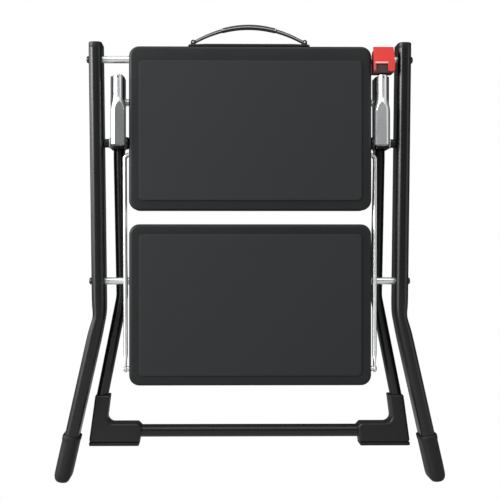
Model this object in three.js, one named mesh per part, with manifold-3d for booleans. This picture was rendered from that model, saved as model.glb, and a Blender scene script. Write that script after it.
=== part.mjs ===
// Folding step stool: two steps on a folding steel frame, folded and standing upright.
// Millimetres, +Z up, the front faces -Y, origin on the floor under the middle.
import * as THREE from 'three';
import { mergeVertices } from 'three/addons/utils/BufferGeometryUtils.js';
import Module from 'manifold-3d';

const wasm = await Module();
wasm.setup();

// Driving dimensions
const gap = 0.3;
const overrun = 10;
const weld = 0.0005;

const openAngle = 57;
const rearAngle = 53.5;

const stepWidth = 305;
const stepLength = 206.2;
const stepAboveAxle = 14.6;
const lowerStepNarrower = 0.4;
const lowerStepLength = 202.8;
const stepClearance = 17.3;
const stepFront = -14;
const stepDepth = 22;
const stepCorner = 13;
const stepRim = 4;
const stepWall = 1.5;
const matThickness = 1;
const matCorner = 6;
const matSideBorder = 12.5;
const matRearBorder = 18.5;
const matFrontBorder = 12.5;
const lowerMatBorder = 12.5;

const axleRadius = 4.5;
const topAxleHeight = 534;
const lowerAxleDrop = 280.6;
const headRadius = 5.3;
const headRise = 3.6;

const legWidth = 16;
const legDepth = 30;
const legCorner = 5.5;
const legWall = 1.2;
const legOffset = 41.9;
const legTaper = 4.2;
const legAboveAxle = 12.7;
const legBendDrop = 42.8;
const legSplay = 12.7;
const legBendRadius = 60;
const capRise = 7.3;
const capPlug = 7;
const capChamfer = 6;
const capInset = 2.4;
const bootWall = 2.4;
const bootRimShare = 1.5;
const bootTip = 8;
const bootHeight = 58.5;

const pivotDrop = 106;
const pivotRadius = 3;
const pivotHeadRadius = 8;
const pivotHeadClearance = 0.7;
const spacerRadius = 5.5;
const washerRadius = 6.6;
const washerThickness = 1.2;

const rearTube = 15;
const rearOffset = 14.5;
const rearTaper = 3.6;
const rearBendDrop = 20.4;
const rearSplay = 11.3;
const rearBendRadius = 55;
const rearAxisY = 14;
const supportRise = 54;
const supportHead = 1.4;
const bracketAboveSupport = 30;
const bracketBelowPivot = 7.1;
const bracketWall = 1.5;
const bracketFront = -6;
const bracketBack = 18;
const rearTopInset = 10;
const endTubeBelowPivot = 3.8;
const endTubeBelowTop = 0.6;
const endTubeInset = 1.4;
const endTubeRadius = 9;
const endNeckRadius = 6.2;
const endNeckLength = 29.4;
const endShoulder = 12.8;
const endTubeWall = 1.2;
const endTubeHole = 1.6;

const footBottom = 43;
const footHeight = 62;
const footArmHeight = 29;
const footToe = 2.3;
const footCollarOuter = 0.9;
const footCollarInner = 2.9;
const footThroat = 4.6;
const footArmLength = 65.7;
const footDepth = 23;
const soleThickness = 4;
const footChamfer = 4.5;
const footSocket = 26;
const crossbarRise = 17.8;
const crossbarTube = 16;

const linkRadius = 2.75;
const linkClearance = 3.2;
const linkPinClearance = 2.9;
const linkDrop = 121;
const linkTopY = -4;
const linkPinDrop = 110;
const linkPinY = -10;
const linkBend = 6;
const eyeHalfWidth = 4.5;
const eyeThickness = 2.6;
const eyeOverlap = 9;
const linkPinRadius = 2;
const linkCollarRadius = 3.2;
const linkHeadRadius = 3.4;
const linkHeadThickness = 1.1;
const linkPlay = 2.1;

const camThickness = 3;
const camInset = 24.5;
const camFlange = 14;
const camFlangeThickness = 2;
const camPlay = 1.4;
const camLand = 5;

const bushRadius = 6;
const bushFlange = 6.7;
const bushLength = 7;
const bushFlangeThickness = 1.5;
const bushSeat = 1.5;

const clipInset = 63.5;
const clipWidth = 16;
const clipHeight = 14;
const clipLand = 3;

const handleLength = 153.2;
const handleX = -2.4;
const handleBaseDepth = 15;
const handleBaseRise = 3.1;
const handleBaseFloor = 1;
const handleY = -4;
const strapInset = 5.6;
const strapRise = 19.8;
const strapThickness = 3.2;
const strapDepth = 8.5;
const gripLength = 68;
const gripThickness = 5;
const gripDepth = 11;
const handlePinRadius = 1.2;
const lugRise = 2.4;
const lugRadius = 2.8;
const lugThickness = 2;

const latchWidth = 25.6;
const latchRise = 11.8;
const latchWindowDrop = 5;
const latchDrop = 19.6;
const latchInnerLeg = 3.2;
const latchOuterLeg = 7.4;
const latchChamfer = 4;
const latchFront = -20;
const latchBack = 7;

// Heights and half widths that follow from them
const lowerStepWidth = stepWidth - lowerStepNarrower;
const lowerAxleHeight = topAxleHeight - lowerAxleDrop;
const upperStepTop = topAxleHeight + stepAboveAxle;
const upperStepBottom = upperStepTop - stepLength;
const lowerStepBottom = upperStepBottom - stepClearance - lowerStepLength;
const legTop = topAxleHeight + legAboveAxle;
const legTopX = stepWidth / 2 + legOffset;
const legBendX = legTopX - legTaper;
const legBendHeight = lowerAxleHeight - legBendDrop;
const pivotHeight = topAxleHeight - pivotDrop;
const pivotHeadInner = stepWidth / 2 + pivotHeadClearance;
const supportHeight = pivotHeight + supportRise;
const rearTopX = stepWidth / 2 + rearOffset;
const rearBendX = rearTopX - rearTaper;
const rearBendHeight = lowerAxleHeight - rearBendDrop;
const bracketTop = supportHeight + bracketAboveSupport;
const bracketBottom = pivotHeight - bracketBelowPivot;
const rearTop = bracketTop - rearTopInset;
const endTubeBottom = pivotHeight - endTubeBelowPivot;
const endTubeTop = bracketTop - endTubeBelowTop;
const endTubeX = rearTopX - endTubeInset;
const endNeckBottom = endTubeTop - endNeckLength;
const endBodyTop = endNeckBottom - endShoulder;
const footTop = footBottom + footHeight;
const footArmTop = footBottom + footArmHeight;
const crossbarHeight = footBottom + crossbarRise;
const linkTopX = stepWidth / 2 + linkClearance + linkRadius;
const linkBottomX = lowerStepWidth / 2 + linkPinClearance + eyeThickness / 2;
const camX = stepWidth / 2 - camInset;
const clipX = stepWidth / 2 - clipInset;
const strapEndX = handleLength / 2 - strapInset;
const latchInnerX = rearTopX - latchWidth / 2;
const latchOuterX = rearTopX + latchWidth / 2;
const latchTop = topAxleHeight + latchRise;
const latchWindowTop = topAxleHeight - latchWindowDrop;
const latchBottom = topAxleHeight - latchDrop;

const arcSteps = 4;
const bendSteps = 4;
const roundSegments = 16;

const radians = THREE.MathUtils.degToRad;
const sides = [['left', -1], ['right', 1]];

// Finishes of the pieces: colour, roughness and metalness
const finish = (color, roughness, metalness) => (
  new THREE.MeshStandardMaterial({ color, roughness, metalness })
);
const blackPaint = () => finish(0x232424, 0.4, 0.2);
const blackPlastic = () => finish(0x2b2c2c, 0.55, 0);
const blackRubber = () => finish(0x333434, 0.8, 0);
const matRubber = () => finish(0x3a3b3c, 0.85, 0);
const zinc = () => finish(0xc9cdcf, 0.28, 0.9);
const redPlastic = () => finish(0xe0392f, 0.45, 0);

const stool = new THREE.Group();

const add = (name, geometry, material) => {
  const mesh = new THREE.Mesh(geometry, material);
  mesh.name = name;
  stool.add(mesh);
};

// Bodies: one closed surface with shared corners, faces outward
const closedBody = (geometry) => {
  const loose = geometry.index ? geometry.toNonIndexed() : geometry.clone();
  loose.deleteAttribute('normal');
  loose.deleteAttribute('uv');
  const merged = mergeVertices(loose, weld);
  const corner = merged.attributes.position;
  const faces = [];
  let volume = 0;
  for (let i = 0; i < merged.index.count; i += 3) {
    const [a, b, c] = [0, 1, 2].map((k) => merged.index.getX(i + k));
    if (a === b || b === c || c === a) continue;
    faces.push([a, b, c]);
    const [p, q, r] = [a, b, c].map((k) => new THREE.Vector3().fromBufferAttribute(corner, k));
    volume += p.dot(q.cross(r));
  }
  const ordered = volume < 0 ? faces.map(([a, b, c]) => [a, c, b]) : faces;
  const body = new THREE.BufferGeometry();
  body.setAttribute('position', corner);
  body.setIndex(ordered.flat());
  return body;
};

const toSolid = (geometry) => {
  const body = closedBody(geometry);
  const vertProperties = Float32Array.from(body.attributes.position.array);
  const triVerts = Uint32Array.from(body.index.array);
  return new wasm.Manifold(new wasm.Mesh({ numProp: 3, vertProperties, triVerts }));
};

const toGeometry = (solid) => {
  const { vertProperties, triVerts } = solid.getMesh();
  const geometry = new THREE.BufferGeometry();
  geometry.setAttribute('position', new THREE.BufferAttribute(vertProperties, 3));
  geometry.setIndex(new THREE.BufferAttribute(triVerts, 1));
  return geometry;
};

const cut = (geometry, tools) => {
  const solid = tools.reduce((rest, tool) => rest.subtract(toSolid(tool)), toSolid(geometry));
  return toGeometry(solid);
};

const join = (pieces) => {
  const [first, ...others] = pieces.map(toSolid);
  return toGeometry(others.reduce((whole, piece) => whole.add(piece), first));
};

const mirrored = (geometry, side) => closedBody(geometry.clone().scale(side, 1, 1));

// Outlines: a polygon whose corners [x, y, radius] are rounded with arcs
const roundedOutline = (corners, steps = arcSteps) => {
  const points = [];
  corners.forEach(([x, y, radius], i) => {
    const here = new THREE.Vector2(x, y);
    const before = corners[(i + corners.length - 1) % corners.length];
    const after = corners[(i + 1) % corners.length];
    const back = new THREE.Vector2(before[0], before[1]).sub(here).normalize();
    const ahead = new THREE.Vector2(after[0], after[1]).sub(here).normalize();
    if (!radius) {
      points.push(here);
      return;
    }
    const half = Math.acos(THREE.MathUtils.clamp(back.dot(ahead), -1, 1)) / 2;
    const centre = back.clone().add(ahead).normalize().multiplyScalar(radius / Math.sin(half)).add(here);
    const start = back.multiplyScalar(radius / Math.tan(half)).add(here).sub(centre);
    const end = ahead.multiplyScalar(radius / Math.tan(half)).add(here).sub(centre);
    const turn = Math.atan2(start.cross(end), start.dot(end));
    for (let k = 0; k <= steps; k += 1) {
      points.push(start.clone().rotateAround(new THREE.Vector2(), (turn * k) / steps).add(centre));
    }
  });
  const before = (i) => points[(i + points.length - 1) % points.length];
  const distinct = points.filter((p, i) => p.distanceTo(before(i)) > weld);
  return new THREE.Shape(distinct);
};

const roundedRectangle = (width, height, radius, steps) => roundedOutline([
  [-width / 2, -height / 2, radius],
  [width / 2, -height / 2, radius],
  [width / 2, height / 2, radius],
  [-width / 2, height / 2, radius],
], steps);

const circle = (radius) => roundedRectangle(2 * radius, 2 * radius, radius, arcSteps - 1);

const hollow = (outer, inner) => {
  outer.holes.push(inner);
  return outer;
};

// Extrusions along the axes; each takes the lowest and highest place on its axis
const alongZ = (shape, from, to) => {
  const geometry = new THREE.ExtrudeGeometry(shape, { depth: to - from, bevelEnabled: false });
  return geometry.translate(0, 0, from);
};

const alongY = (shape, from, to) => alongZ(shape, -to, -from).rotateX(Math.PI / 2);

const alongX = (shape, from, to) => {
  const axes = new THREE.Matrix4().makeBasis(
    new THREE.Vector3(0, 1, 0),
    new THREE.Vector3(0, 0, 1),
    new THREE.Vector3(1, 0, 0),
  );
  return alongZ(shape, from, to).applyMatrix4(axes);
};

const rodX = (radius, from, to, y, z) => {
  const rod = new THREE.CylinderGeometry(radius, radius, to - from, roundSegments);
  return rod.rotateZ(Math.PI / 2).translate((from + to) / 2, y, z);
};

// A turned piece: closed profile of [radius, place] points about the X axis
const turnedX = (profile, y, z) => {
  const points = profile.map(([radius, place]) => new THREE.Vector2(radius, place));
  return new THREE.LatheGeometry(points, roundSegments).rotateZ(-Math.PI / 2).translate(0, y, z);
};

// A tube's run: straight lengths joined by arcs, stepped only where it turns
class TubeRun extends THREE.Curve {
  constructor(corners, radius) {
    super();
    this.knots = [];
    const last = corners.length - 1;
    this.push(corners[0], corners[1].clone().sub(corners[0]).normalize());
    for (let i = 1; i < last; i += 1) {
      this.turn(corners[i - 1], corners[i], corners[i + 1], radius);
    }
    this.push(corners[last], corners[last].clone().sub(corners[last - 1]).normalize());
  }

  push(point, tangent) {
    this.knots.push({ point, tangent });
  }

  turn(before, here, after, radius) {
    const into = here.clone().sub(before).normalize();
    const out = after.clone().sub(here).normalize();
    const angle = into.angleTo(out);
    const inward = out.clone().addScaledVector(into, -into.dot(out)).normalize();
    const start = here.clone().addScaledVector(into, -radius * Math.tan(angle / 2));
    const centre = start.clone().addScaledVector(inward, radius);
    for (let k = 0; k <= bendSteps; k += 1) {
      const a = (angle * k) / bendSteps;
      const point = centre.clone();
      point.addScaledVector(inward, -radius * Math.cos(a)).addScaledVector(into, radius * Math.sin(a));
      const tangent = into.clone().multiplyScalar(Math.cos(a)).addScaledVector(inward, Math.sin(a));
      this.push(point, tangent);
    }
  }

  knot(u) {
    return this.knots[Math.round(u * (this.knots.length - 1))];
  }

  getPointAt(u, target = new THREE.Vector3()) {
    return target.copy(this.knot(u).point);
  }

  getTangentAt(u, target = new THREE.Vector3()) {
    return target.copy(this.knot(u).tangent);
  }
}

const tube = (shape, run) => new THREE.ExtrudeGeometry(shape, {
  steps: run.knots.length - 1,
  bevelEnabled: false,
  extrudePath: run,
});

// Front legs: flat-oval tubes that splay outward below one bend
const legSlope = (legTopX - legBendX) / (legTop - legBendHeight);
const legX = (height) => legBendX + (height - legBendHeight) * legSlope;
const legInnerX = (height) => legX(height) - legWidth / 2;
const legOuterX = (height) => legX(height) + legWidth / 2;
const splaySlope = Math.tan(radians(legSplay));
const splayX = (height) => legBendX + (legBendHeight - height) * splaySlope;
const legBottom = bootTip + bootWall;
const legRun = new TubeRun([
  new THREE.Vector3(legX(legTop), 0, legTop),
  new THREE.Vector3(legBendX, 0, legBendHeight),
  new THREE.Vector3(splayX(legBottom), 0, legBottom),
], legBendRadius);
const legShape = (growth) => (
  roundedRectangle(legDepth + 2 * growth, legWidth + 2 * growth, legCorner + growth)
);
const legBore = (margin) => legShape(-legWall - margin);
const legSection = hollow(legShape(0), legBore(0));
const axleHole = (height) => (
  rodX(axleRadius + gap, legInnerX(height) - overrun, legOuterX(height) + overrun, 0, height)
);
const legHoles = [
  axleHole(topAxleHeight),
  axleHole(lowerAxleHeight),
  rodX(pivotRadius + gap, legInnerX(pivotHeight) - overrun, legX(pivotHeight), 0, pivotHeight),
];
const frontLeg = cut(tube(legSection, legRun), legHoles);

// Caps: a chamfered head on the tube's end with a plug inside it
const capHead = new THREE.ExtrudeGeometry(legShape(0), {
  depth: capRise - capChamfer,
  bevelThickness: capChamfer,
  bevelSize: capInset,
  bevelOffset: -capInset,
  bevelSegments: 2,
});
const belowCap = alongZ(legShape(overrun), -overrun, 0);
const plugBody = alongZ(legBore(gap), -capPlug, capRise / 4);
const capTop = toGeometry(toSolid(capHead).subtract(toSolid(belowCap)));
const legCap = join([capTop, plugBody]).rotateZ(Math.PI / 2);
legCap.translate(0, 0, gap).rotateY(Math.atan(legSlope)).translate(legX(legTop), 0, legTop);

// Boots: rounded rubber cups over the lower ends of the tubes
const bootCore = new THREE.ExtrudeGeometry(legShape(bootWall), {
  depth: bootHeight - 2 * bootTip,
  bevelThickness: bootTip,
  bevelSize: legWidth / 4,
  bevelOffset: -legWidth / 4,
  bevelSegments: 3,
});
const bootRim = alongZ(legShape(bootWall * bootRimShare), bootHeight - 2 * bootTip, bootHeight - bootTip);
const bootPocket = alongZ(legShape(gap), 0, bootHeight + overrun);
const bootCut = alongZ(legShape(2 * bootWall), bootHeight - bootTip, bootHeight + overrun);
const frontFoot = cut(join([bootCore, bootRim]), [bootPocket, bootCut]);
frontFoot.rotateZ(Math.PI / 2).rotateY(-radians(legSplay));
frontFoot.translate(splayX(legBottom - gap), 0, legBottom - gap);

sides.forEach(([side, sign]) => {
  add(`front_leg_${side}`, mirrored(frontLeg, sign), blackPaint());
  add(`leg_cap_${side}`, mirrored(legCap, sign), blackPlastic());
  add(`foot_${side}`, mirrored(frontFoot, sign), blackRubber());
});

// Axles: plain rods through both legs, each with a domed head outside
const axleHeights = { top_axle: topAxleHeight, lower_axle: lowerAxleHeight };
Object.entries(axleHeights).forEach(([name, height]) => {
  add(name, rodX(axleRadius, -legOuterX(height), legOuterX(height), 0, height), zinc());
});

const headProfile = [[0, 0], [headRadius, 0], [headRadius, headRise / 3]];
for (let k = 1; k <= arcSteps; k += 1) {
  const a = (k / arcSteps) * (Math.PI / 2);
  headProfile.push([headRadius * Math.cos(a), headRise / 3 + (headRise * 2 * Math.sin(a)) / 3]);
}
Object.entries(axleHeights).forEach(([name, height]) => {
  const head = turnedX(headProfile, 0, height).translate(legOuterX(height) + gap, 0, 0);
  sides.forEach(([side, sign]) => {
    add(`${name}_head_${side}`, mirrored(head, sign), blackPaint());
  });
});

// Rear legs: round tubes that splay like the front legs
const rearSlope = Math.tan(radians(rearSplay));
const rearX = (height) => rearBendX + (rearBendHeight - height) * rearSlope;
const rearLegBottom = footTop - footSocket;
const rearRun = new TubeRun([
  new THREE.Vector3(rearTopX, rearAxisY, rearTop),
  new THREE.Vector3(rearTopX, rearAxisY, bracketBottom - overrun),
  new THREE.Vector3(rearBendX, rearAxisY, rearBendHeight),
  new THREE.Vector3(rearX(rearLegBottom), rearAxisY, rearLegBottom),
], rearBendRadius);
const rearSection = hollow(circle(rearTube / 2), circle(rearTube / 2 - legWall));
const bracketInner = rearTopX - rearTube / 2 - gap - bracketWall;
const bracketOuter = rearTopX + rearTube / 2 + gap + bracketWall;
const supportHole = rodX(
  axleRadius + gap,
  bracketInner - overrun,
  bracketOuter + overrun,
  rearAxisY,
  supportHeight,
);
const rearLeg = cut(tube(rearSection, rearRun), [supportHole]);

// Brackets: folded channels over the tops of the rear legs, with the pivot and support holes
const bracketWidth = bracketOuter - bracketInner;
const channel = roundedOutline([
  [-bracketWidth / 2, bracketFront, bracketWall],
  [bracketWidth / 2, bracketFront, bracketWall],
  [bracketWidth / 2, bracketBack, 0],
  [bracketWidth / 2 - bracketWall, bracketBack, 0],
  [bracketWidth / 2 - bracketWall, bracketFront + bracketWall, 0],
  [bracketWall - bracketWidth / 2, bracketFront + bracketWall, 0],
  [bracketWall - bracketWidth / 2, bracketBack, 0],
  [-bracketWidth / 2, bracketBack, 0],
]);
const pivotHole = rodX(pivotRadius + gap, bracketInner - overrun, bracketOuter + overrun, 0, pivotHeight);
const endTubeY = bracketFront - gap - endTubeRadius;
const rivetRadius = endTubeHole;
const rivetHead = 2 * endTubeHole;
const rivetHeights = [endTubeBottom + endTubeRadius, endBodyTop - endTubeRadius];
const rodY = (radius, from, to, x, z) => {
  const rod = new THREE.CylinderGeometry(radius, radius, to - from, roundSegments / 2);
  return rod.translate(x, (from + to) / 2, z);
};
const rivetHoles = rivetHeights.map((height) => (
  rodY(rivetRadius + gap, endTubeY, bracketFront + overrun, endTubeX, height)
));
const legBracket = cut(alongZ(channel, bracketBottom, bracketTop).translate(rearTopX, 0, 0),
  [pivotHole, supportHole, ...rivetHoles]);

// End tubes: zinc tubes drawn to a narrow neck, riveted to the brackets
const endProfile = [
  [endTubeRadius, endTubeBottom],
  [endTubeRadius, endBodyTop],
  [endNeckRadius, endNeckBottom],
  [endNeckRadius, endTubeTop],
  [endNeckRadius - endTubeWall, endTubeTop],
  [endNeckRadius - endTubeWall, endNeckBottom],
  [endTubeRadius - endTubeWall, endBodyTop],
  [endTubeRadius - endTubeWall, endTubeBottom],
  [endTubeRadius, endTubeBottom],
].map(([radius, height]) => new THREE.Vector2(radius, height));
const neckHoleHeight = endTubeTop - endNeckRadius / 2;
const neckHole = rodY(endTubeHole, endTubeY - endTubeRadius, endTubeY, endTubeX, neckHoleHeight);
const endTube = cut(
  new THREE.LatheGeometry(endProfile, roundSegments).rotateX(Math.PI / 2).translate(endTubeX, endTubeY, 0),
  [neckHole, ...rivetHoles],
);
const rivetInnerY = endTubeY + endTubeRadius - 2 * endTubeWall - gap;
const rivetBackY = bracketFront + bracketWall + gap;
const bracketRivets = rivetHeights.map((height) => join([
  rodY(rivetRadius, rivetInnerY, rivetBackY + endTubeWall / 2, endTubeX, height),
  rodY(rivetHead, rivetBackY, rivetBackY + endTubeWall, endTubeX, height),
]));

// Corner feet: plastic elbows that take the rear leg and the crossbar
const footOuterX = rearX(footBottom) + footToe;
const footArmEndX = footOuterX - footArmLength;
const footCollarOuterX = rearX(footTop) + rearTube / 2 + footCollarOuter;
const footCollarInnerX = rearX(footTop) - rearTube / 2 - footCollarInner;
const footOutline = roundedOutline([
  [footOuterX, footBottom + soleThickness + gap, soleThickness],
  [footCollarOuterX, footTop, soleThickness / 2],
  [footCollarInnerX, footTop, soleThickness / 2],
  [footCollarInnerX + footThroat, footArmTop, 2 * soleThickness],
  [footArmEndX + footChamfer, footArmTop, 0],
  [footArmEndX, footArmTop - footChamfer, 0],
  [footArmEndX + soleThickness, footBottom + soleThickness + gap, 0],
]);
const footFrontY = rearAxisY - footDepth / 2;
const footBackY = rearAxisY + footDepth / 2;
const legSocket = tube(circle(rearTube / 2 + gap), new TubeRun([
  new THREE.Vector3(rearX(footTop + overrun), rearAxisY, footTop + overrun),
  new THREE.Vector3(rearX(rearLegBottom), rearAxisY, rearLegBottom - gap),
], rearBendRadius));
const crossbarEnd = footArmEndX + footSocket;
const barSocket = rodX(
  crossbarTube / 2 + gap,
  footArmEndX - overrun,
  crossbarEnd + gap,
  rearAxisY,
  crossbarHeight,
);
const cornerFoot = cut(alongY(footOutline, footFrontY, footBackY), [legSocket, barSocket]);
const soleOutline = roundedOutline([
  [footOuterX, footBottom, soleThickness / 2],
  [footOuterX, footBottom + soleThickness, 0],
  [footArmEndX + soleThickness, footBottom + soleThickness, 0],
  [footArmEndX + soleThickness, footBottom, soleThickness / 2],
]);
const cornerSole = alongY(soleOutline, footFrontY, footBackY);

sides.forEach(([side, sign]) => {
  add(`rear_leg_${side}`, mirrored(rearLeg, sign), blackPaint());
  add(`leg_bracket_${side}`, mirrored(legBracket, sign), blackPaint());
  add(`end_tube_${side}`, mirrored(endTube, sign), zinc());
  add(`corner_foot_${side}`, mirrored(cornerFoot, sign), blackPlastic());
  add(`corner_sole_${side}`, mirrored(cornerSole, sign), blackRubber());
  add(`bracket_rivet_lower_${side}`, mirrored(bracketRivets[0], sign), zinc());
  add(`bracket_rivet_upper_${side}`, mirrored(bracketRivets[1], sign), zinc());
});
const crossbarOuter = rodX(crossbarTube / 2, -crossbarEnd, crossbarEnd, rearAxisY, crossbarHeight);
const crossbarBore = rodX(
  crossbarTube / 2 - legWall,
  -crossbarEnd - overrun,
  crossbarEnd + overrun,
  rearAxisY,
  crossbarHeight,
);
add('rear_crossbar', cut(crossbarOuter, [crossbarBore]), blackPaint());

const supportEnd = bracketOuter + gap + supportHead;
add('support_rod', join([
  rodX(axleRadius, -supportEnd, supportEnd, rearAxisY, supportHeight),
  ...sides.map(([, sign]) => rodX(
    axleRadius + supportHead,
    sign * (bracketOuter + gap + supportHead / 2) - supportHead / 2,
    sign * (bracketOuter + gap + supportHead / 2) + supportHead / 2,
    rearAxisY,
    supportHeight,
  )),
]), zinc());

// Pivots: a headed bolt through the bracket into the front leg, with washer and spacer
const headThickness = bracketInner - gap - pivotHeadInner;
const boltEnd = legX(pivotHeight) - gap;
const pivotBolt = join([
  rodX(pivotHeadRadius, pivotHeadInner, pivotHeadInner + headThickness, 0, pivotHeight),
  rodX(pivotRadius, pivotHeadInner + headThickness / 2, boltEnd, 0, pivotHeight),
]);
const ringX = (outer, inner, from, to, y, z) => turnedX(
  [[inner, from], [outer, from], [outer, to], [inner, to], [inner, from]],
  y,
  z,
);
const washerStart = bracketOuter + gap;
const spacerStart = washerStart + washerThickness + gap;
const pivotRing = (radius, from, to) => ringX(radius, pivotRadius + gap, from, to, 0, pivotHeight);
const washer = pivotRing(washerRadius, washerStart, washerStart + washerThickness);
const spacer = pivotRing(spacerRadius, spacerStart, legInnerX(pivotHeight) - gap);
sides.forEach(([side, sign]) => {
  add(`pivot_bolt_${side}`, mirrored(pivotBolt, sign), blackPaint());
  add(`pivot_washer_${side}`, mirrored(washer, sign), zinc());
  add(`pivot_spacer_${side}`, mirrored(spacer, sign), blackPlastic());
});

// Steps: shallow pans open at the back, with a rounded rim and a rubber mat on the front
const stepBack = stepFront + stepDepth;
const sheetBack = stepFront + stepWall;
const stepPan = (width, length, bottom, holes) => {
  const face = new THREE.ExtrudeGeometry(roundedRectangle(width, length, stepCorner), {
    depth: stepRim,
    bevelThickness: stepRim,
    bevelSize: stepRim,
    bevelOffset: -stepRim,
    bevelSegments: 3,
  });
  face.rotateX(Math.PI / 2).translate(0, stepFront + 2 * stepRim, 0);
  const skirt = alongY(roundedRectangle(width, length, stepCorner), stepFront + stepRim, stepBack);
  const innerCorner = stepCorner - stepWall;
  const cavity = alongY(
    roundedRectangle(width - 2 * stepWall, length - 2 * stepWall, innerCorner),
    stepFront + stepRim,
    stepBack + overrun,
  );
  const shallow = alongY(
    roundedRectangle(width - 2 * stepRim, length - 2 * stepRim, innerCorner - stepWall),
    sheetBack,
    stepFront + stepRim + stepWall,
  );
  const middle = bottom + length / 2;
  return cut(join([face, skirt]).translate(0, 0, middle), [
    cavity.translate(0, 0, middle),
    shallow.translate(0, 0, middle),
    ...holes,
  ]);
};

const stepMat = (width, from, to) => alongY(
  roundedRectangle(width, to - from, matCorner),
  stepFront - gap - matThickness,
  stepFront - gap,
).translate(0, 0, (from + to) / 2);

const across = (radius, halfWidth, y, z) => rodX(radius, -halfWidth - overrun, halfWidth + overrun, y, z);
const linkTopHeight = topAxleHeight - linkDrop;
add('platform_pan', stepPan(stepWidth, stepLength, upperStepBottom, [
  across(bushRadius + gap, stepWidth / 2, 0, topAxleHeight),
  across(linkRadius + gap, stepWidth / 2, linkTopY, linkTopHeight),
]), blackPaint());
add('platform_mat', stepMat(stepWidth - 2 * matSideBorder, upperStepBottom + matFrontBorder,
  upperStepTop - matRearBorder), matRubber());

const linkPinHeight = lowerAxleHeight - linkPinDrop;
add('lower_step_pan', stepPan(lowerStepWidth, lowerStepLength, lowerStepBottom, [
  across(bushRadius + gap, lowerStepWidth / 2, 0, lowerAxleHeight),
  across(linkPinRadius + gap, lowerStepWidth / 2, linkPinY, linkPinHeight),
]), blackPaint());
add('lower_step_mat', stepMat(lowerStepWidth - 2 * matSideBorder, lowerStepBottom + lowerMatBorder,
  lowerStepBottom + lowerStepLength - lowerMatBorder), matRubber());

// Bushes: flanged plastic rings that carry each step on its axle
const bush = (halfWidth, height) => {
  const seat = halfWidth - stepWall - bushSeat;
  const inner = seat - bushFlangeThickness;
  return turnedX([
    [axleRadius + gap, inner],
    [bushFlange, inner],
    [bushFlange, seat],
    [bushRadius, seat],
    [bushRadius, halfWidth],
    [axleRadius + gap, halfWidth],
    [axleRadius + gap, inner],
  ], 0, height);
};
const sleeve = (halfWidth, height) => ringX(bushRadius, axleRadius + gap, halfWidth - stepWall - bushLength,
  halfWidth - stepWall - bushFlangeThickness, 0, height);
sides.forEach(([side, sign]) => {
  const upper = join([bush(stepWidth / 2, topAxleHeight), sleeve(stepWidth / 2, topAxleHeight)]);
  const halfLower = lowerStepWidth / 2;
  const lower = join([bush(halfLower, lowerAxleHeight), sleeve(halfLower, lowerAxleHeight)]);
  add(`platform_bush_${side}`, mirrored(upper, sign), blackPlastic());
  add(`lower_bush_${side}`, mirrored(lower, sign), blackPlastic());
});

// Guide plates: slots under the upper step in which the support rod slides as the stool opens
const turnedBy = (y, z, angle) => [
  y * Math.cos(angle) - z * Math.sin(angle),
  z * Math.cos(angle) + y * Math.sin(angle),
];
const supportInStep = (share) => {
  const [y, z] = turnedBy(rearAxisY, supportHeight - pivotHeight, radians(rearAngle) * share);
  const [inY, inZ] = turnedBy(y, z + pivotHeight - topAxleHeight, radians(openAngle) * share);
  return new THREE.Vector2(inY, inZ + topAxleHeight);
};
const slotSteps = 10;
const slotFromShare = 0.3;
const slotPath = [];
for (let k = 0; k <= slotSteps; k += 1) {
  slotPath.push(supportInStep(slotFromShare + ((1 - slotFromShare) * k) / slotSteps));
}
const slotOutline = (radius) => {
  const left = [];
  const right = [];
  slotPath.forEach((point, i) => {
    const before = slotPath[Math.max(i - 1, 0)];
    const after = slotPath[Math.min(i + 1, slotSteps)];
    const along = after.clone().sub(before).normalize();
    const normal = new THREE.Vector2(-along.y, along.x).multiplyScalar(radius);
    left.push(point.clone().add(normal));
    right.unshift(point.clone().sub(normal));
  });
  const cap = (centre, from) => {
    const points = [];
    for (let k = 1; k < 2 * arcSteps; k += 1) {
      points.push(from.clone().rotateAround(centre, (-Math.PI * k) / (2 * arcSteps)));
    }
    return points;
  };
  const farEnd = cap(slotPath[slotSteps], left[slotSteps]);
  const nearEnd = cap(slotPath[0], right[slotSteps]);
  return new THREE.Shape([...left, ...farEnd, ...right, ...nearEnd]);
};
const camRoot = sheetBack + gap;
const slotStart = slotPath[0];
const slotEnd = slotPath[slotSteps];
const camReach = axleRadius + camPlay + camLand;
const camOutline = roundedOutline([
  [camRoot, slotEnd.y - camReach, 0],
  [slotEnd.x + camReach, slotEnd.y - camReach, camLand],
  [slotEnd.x + camReach, slotStart.y, camLand],
  [slotStart.x + camReach, slotStart.y + camReach, camLand],
  [camRoot, slotStart.y + camReach, 0],
]);
const camHeight = slotStart.y - slotEnd.y + 2 * camReach;
const camFoot = roundedOutline([
  [camX, slotEnd.y - camReach, 0],
  [camX + camFlange, slotEnd.y - camReach, camFlangeThickness],
  [camX + camFlange, slotEnd.y - camReach + camHeight, camFlangeThickness],
  [camX, slotEnd.y - camReach + camHeight, 0],
]);
const slotTool = alongX(slotOutline(axleRadius + camPlay), camX - overrun, camX + camThickness + overrun);
const camBracket = cut(join([
  alongX(camOutline, camX, camX + camThickness),
  alongY(camFoot, camRoot, camRoot + camFlangeThickness),
]), [slotTool]);
sides.forEach(([side, sign]) => {
  add(`cam_bracket_${side}`, mirrored(camBracket, sign), blackPaint());
});

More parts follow.
